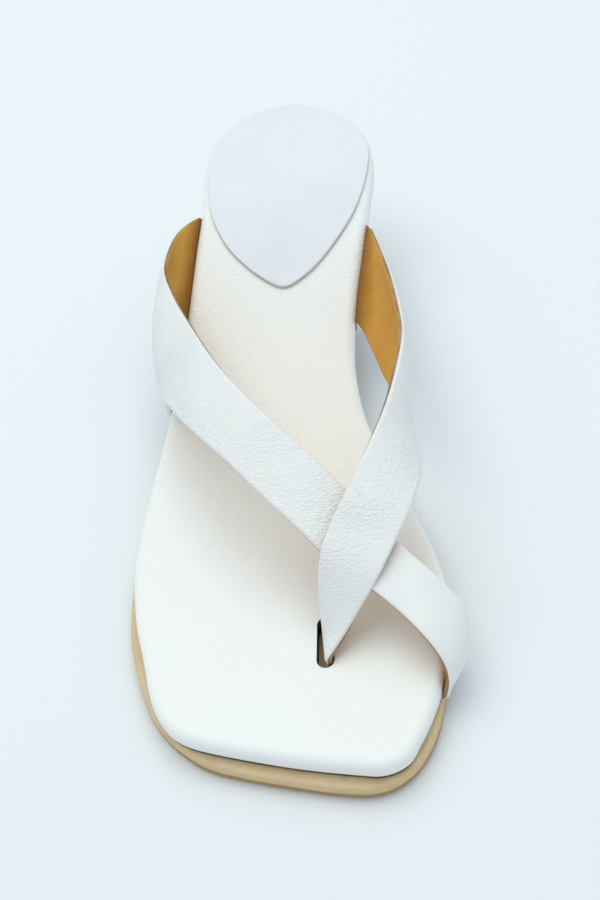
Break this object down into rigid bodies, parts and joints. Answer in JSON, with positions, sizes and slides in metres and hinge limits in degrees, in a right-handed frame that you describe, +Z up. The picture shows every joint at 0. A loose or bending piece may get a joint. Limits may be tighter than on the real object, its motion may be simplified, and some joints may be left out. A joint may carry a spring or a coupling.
{
  "type": "heeled toe-post sandal",
  "caption": "Right-foot heeled mule sandal with an oblique square toe and crossed leather straps, the medial one ending in a toe post through the footbed, on a thin sole with a low block heel.",
  "frame": {"origin": "on the tread under the ball of the foot, where the flat of the forefoot meets the floor", "axes": "+Z up from the floor, +Y from the toe towards the heel, +X towards the big-toe (medial) side"},
  "size_m": [0.0988, 0.2474, 0.0517],
  "materials": {
    "strap_leather": "pebbled white leather, tan lining",
    "footbed_leather": "fine-grained creamy white leather",
    "pad_leather": "smooth pale grey leather",
    "heel_leather": "fine-grained white leather",
    "sole_rubber": "matt tan rubber",
    "lift_rubber": "matt tan rubber"
  },
  "bodies": {
    "root": {"upper": "strap_leather", "footbed": "footbed_leather", "heel_pad": "pad_leather", "heel": "heel_leather", "outsole": "sole_rubber", "top_lift": "lift_rubber"}
  },
  "joints": []
}
